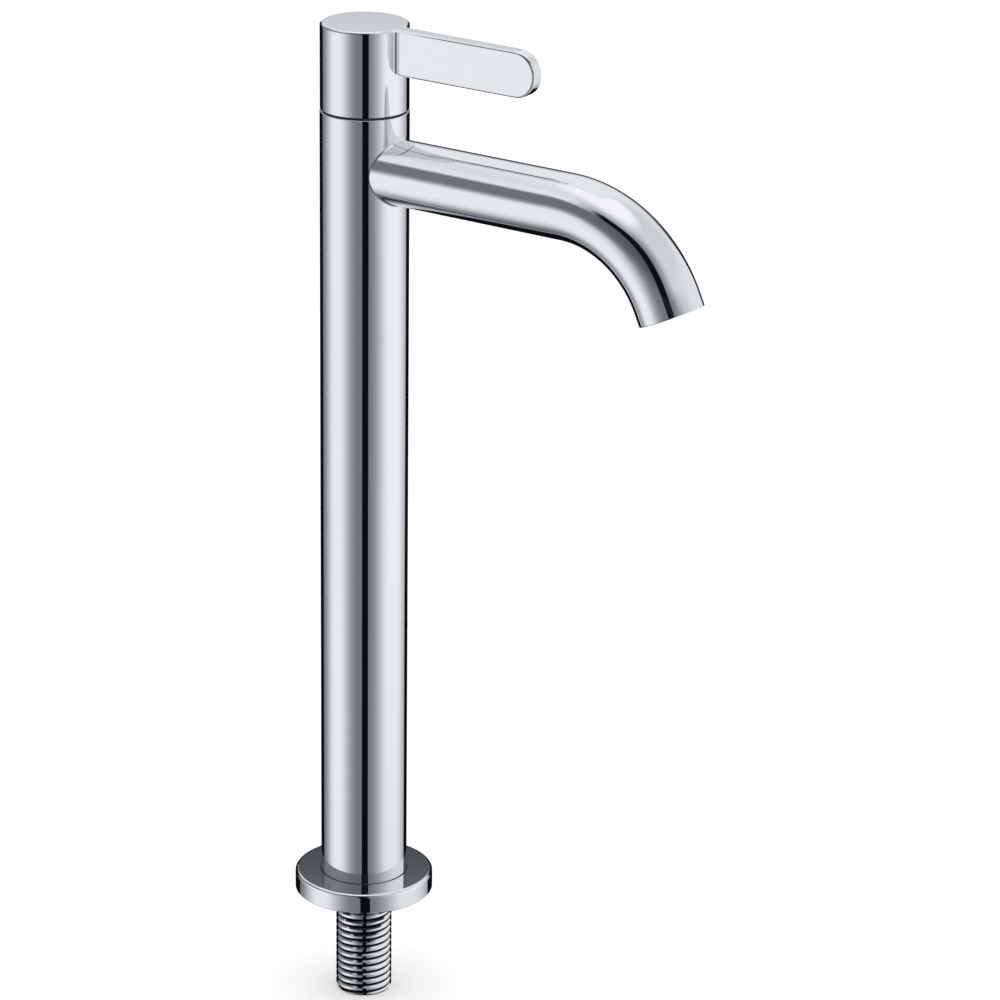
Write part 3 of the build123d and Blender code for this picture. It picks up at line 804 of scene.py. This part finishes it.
def floor_material():
    """Pale paper that comes out white to the camera, but for the tap's faint shadow."""
    material, tree, place = new_material("studio_floor")
    tint = bpy.context.scene.tap_colours.floor
    fibres = add_node(tree, "TexNoise", {"Vector": place, "Scale": 1 / (30 * MM)})
    paper = add_node(
        tree, "Mix",
        {
            "Factor": fibres.outputs["Fac"],
            "A": (*(part * 0.99 for part in tint), 1),
            "B": (*tint, 1),
        },
        data_type="RGBA",
    )
    diffuse = add_node(tree, "BsdfDiffuse", {"Color": paper.outputs["Result"]})
    ray = add_node(tree, "LightPath")
    glow = add_node(
        tree, "Math", {0: ray.outputs["Is Camera Ray"], 1: 0.2}, operation="MULTIPLY"
    )
    shine = add_node(tree, "Emission", {"Strength": glow.outputs[0]})
    both = add_node(tree, "AddShader", {0: diffuse.outputs[0], 1: shine.outputs[0]})
    add_node(tree, "OutputMaterial", {"Surface": both.outputs[0]})
    material.cycles.emission_sampling = "NONE"
    return material


def set_world():
    """Soft white light from everywhere."""
    world = bpy.data.worlds.new("studio_light")
    world.use_nodes = True
    tree = world.node_tree
    tree.nodes.clear()
    shader = add_node(tree, "Background", {"Color": (1, 1, 1, 1), "Strength": 1.0})
    add_node(tree, "OutputWorld", {"Surface": shader.outputs[0]})
    bpy.context.scene.world = world


# metres from the column's axis and from the flange's underside
CAMERA_REACH = 1.5094
CAMERA_HEIGHT = 0.70875


def set_camera():
    """The photograph's camera, from a least-squares fit to the tap's outline. Returns its
    azimuth."""
    # where it stands round the tap, and how it then turns aside, down and about its view
    turn, yaw, pitch, roll = (radians(v) for v in (-53.56, -1.889, 20.157, 0.707))
    heading = turn + yaw
    forward = Vector((-sin(heading) * cos(pitch), cos(heading) * cos(pitch), -sin(pitch)))
    flat = Vector((cos(heading), sin(heading), 0))
    rise = flat.cross(forward)
    right = cos(roll) * flat + sin(roll) * rise
    up = -sin(roll) * flat + cos(roll) * rise
    data = bpy.data.cameras.new("photo_camera")
    data.lens = 158.4
    data.sensor_width = 36
    data.clip_end = 100
    # half a pixel of the photograph
    data.shift_x = -0.0005
    data.shift_y = 0.0005
    camera = bpy.data.objects.new("photo_camera", data)
    bpy.context.scene.collection.objects.link(camera)
    place = Matrix((right, up, -forward)).transposed().to_4x4()
    place.translation = (CAMERA_REACH * sin(turn), -CAMERA_REACH * cos(turn), CAMERA_HEIGHT)
    camera.matrix_world = place
    bpy.context.scene.camera = camera
    return turn


def stage_object(name, bm, material):
    mesh = bpy.data.meshes.new(name)
    bm.to_mesh(mesh)
    bm.free()
    mesh.materials.append(material)
    made = bpy.data.objects.new(name, mesh)
    bpy.context.scene.collection.objects.link(made)
    return made


def make_stage():
    bpy.context.scene.view_settings.view_transform = "Standard"
    set_world()
    turn = set_camera()

    bm = bmesh.new()
    bmesh.ops.create_uvsphere(bm, u_segments=96, v_segments=48, radius=1.0)
    bmesh.ops.reverse_faces(bm, faces=bm.faces)
    for face in bm.faces:
        face.smooth = True
    tent = stage_object("studio_tent", bm, tent_material())
    # its middle at half the tap's height
    tent.location = (0, 0, 0.17)
    tent.rotation_euler = (0, 0, turn)
    # only mirrors see the tent
    tent.visible_camera = False
    tent.visible_diffuse = False
    tent.visible_shadow = False
    tent.visible_transmission = False
    tent.visible_volume_scatter = False

    bm = bmesh.new()
    bmesh.ops.create_grid(bm, x_segments=1, y_segments=1, size=20)
    bmesh.ops.translate(bm, verts=bm.verts, vec=(0, 0, SHANK_LOW.z))
    floor = stage_object("studio_floor", bm, floor_material())
    floor.visible_glossy = False


# Operators


class TAP_OT_column(bpy.types.Operator):
    """Adds the chromed column and the bead round its foot"""

    bl_idname = "tap.column"
    bl_label = "Column"

    def execute(self, context):
        make_column()
        make_foot_seal()
        return {"FINISHED"}


class TAP_OT_spout(bpy.types.Operator):
    """Adds the bent spout and the polished joint at its root"""

    bl_idname = "tap.spout"
    bl_label = "Spout and joint"

    def execute(self, context):
        make_spout()
        make_spout_joint()
        return {"FINISHED"}


class TAP_OT_handle(bpy.types.Operator):
    """Adds the chromed handle with its lever"""

    bl_idname = "tap.handle"
    bl_label = "Handle"

    def execute(self, context):
        make_handle()
        return {"FINISHED"}


class TAP_OT_tail(bpy.types.Operator):
    """Adds the tail with its cut thread"""

    bl_idname = "tap.tail"
    bl_label = "Threaded tail"

    def execute(self, context):
        make_tail()
        return {"FINISHED"}


class TAP_OT_chromed_parts(bpy.types.Operator):
    """Gives the flange and the outlet bush their chrome"""

    bl_idname = "tap.chromed_parts"
    bl_label = "Flange and outlet bush"

    def execute(self, context):
        dress(chrome_plated_brass(), "base_flange", "outlet_bush")
        return {"FINISHED"}


class TAP_OT_waterway(bpy.types.Operator):
    """Gives the brass and copper pieces inside their finish"""

    bl_idname = "tap.waterway"
    bl_label = "Brass and copper inside"

    def execute(self, context):
        dress(
            turned_brass(), "base_connector", "seat_carrier", "top_bush", "headwork_body",
            "spindle",
        )
        dress(drawn_copper(), "riser_tube")
        return {"FINISHED"}


class TAP_OT_small_parts(bpy.types.Operator):
    """Gives the clip, grub screw, strainer, discs and plastic pieces their finish"""

    bl_idname = "tap.small_parts"
    bl_label = "Small parts"

    def execute(self, context):
        dress(stainless_steel(), "aerator_filter", "spindle_clip", "handle_grub_screw")
        dress(ground_alumina(), "lower_ceramic_disc", "upper_ceramic_disc")
        dress(natural_acetal(), "aerator_honeycomb", "aerator_diffuser", "thrust_washer")
        # the glide ring's dark grey is partly painted shade in the gap under the handle's cap
        dress(grey_acetal(), "handle_glide_ring", "aerator_cage", "screw_plug")
        return {"FINISHED"}


class TAP_OT_seals(bpy.types.Operator):
    """Gives the rubber seals their finish"""

    bl_idname = "tap.seals"
    bl_label = "Seals"

    def execute(self, context):
        dress(
            nitrile_rubber(), "flange_gasket", "shank_washer", "riser_o_rings",
            "aerator_washer", "headwork_o_ring", "seat_seal", "spindle_o_rings",
        )
        return {"FINISHED"}


class TAP_OT_stage(bpy.types.Operator):
    """Sets the photograph's camera, the light, the tent and the floor"""

    bl_idname = "tap.stage"
    bl_label = "Studio"

    def execute(self, context):
        make_stage()
        return {"FINISHED"}


OPERATORS = (
    TAP_OT_column, TAP_OT_spout, TAP_OT_handle, TAP_OT_tail, TAP_OT_chromed_parts,
    TAP_OT_waterway, TAP_OT_small_parts, TAP_OT_seals, TAP_OT_stage,
)


class TAP_PT_sidebar(bpy.types.Panel):
    """Lists the steps, sizes and colours of the tap"""

    bl_idname = "TAP_PT_sidebar"
    bl_label = "Pillar tap"
    bl_space_type = "VIEW_3D"
    bl_region_type = "UI"
    bl_category = "Tap"

    def draw(self, context):
        for step in OPERATORS:
            self.layout.operator(step.bl_idname)
        for group in (context.scene.tap_sizes, context.scene.tap_colours):
            box = self.layout.box()
            for name in group.__annotations__:
                box.prop(group, name)


CLASSES = (TapSizes, TapColours, *OPERATORS, TAP_PT_sidebar)


def register():
    for each in CLASSES:
        bpy.utils.register_class(each)
    bpy.types.Scene.tap_sizes = bpy.props.PointerProperty(type=TapSizes)
    bpy.types.Scene.tap_colours = bpy.props.PointerProperty(type=TapColours)


def unregister():
    del bpy.types.Scene.tap_colours
    del bpy.types.Scene.tap_sizes
    for each in reversed(CLASSES):
        bpy.utils.unregister_class(each)


def main():
    register()
    bpy.ops.tap.column()
    bpy.ops.tap.spout()
    bpy.ops.tap.handle()
    bpy.ops.tap.tail()
    bpy.ops.tap.chromed_parts()
    bpy.ops.tap.waterway()
    bpy.ops.tap.small_parts()
    bpy.ops.tap.seals()
    bpy.ops.tap.stage()


if __name__ == "__main__":
    main()
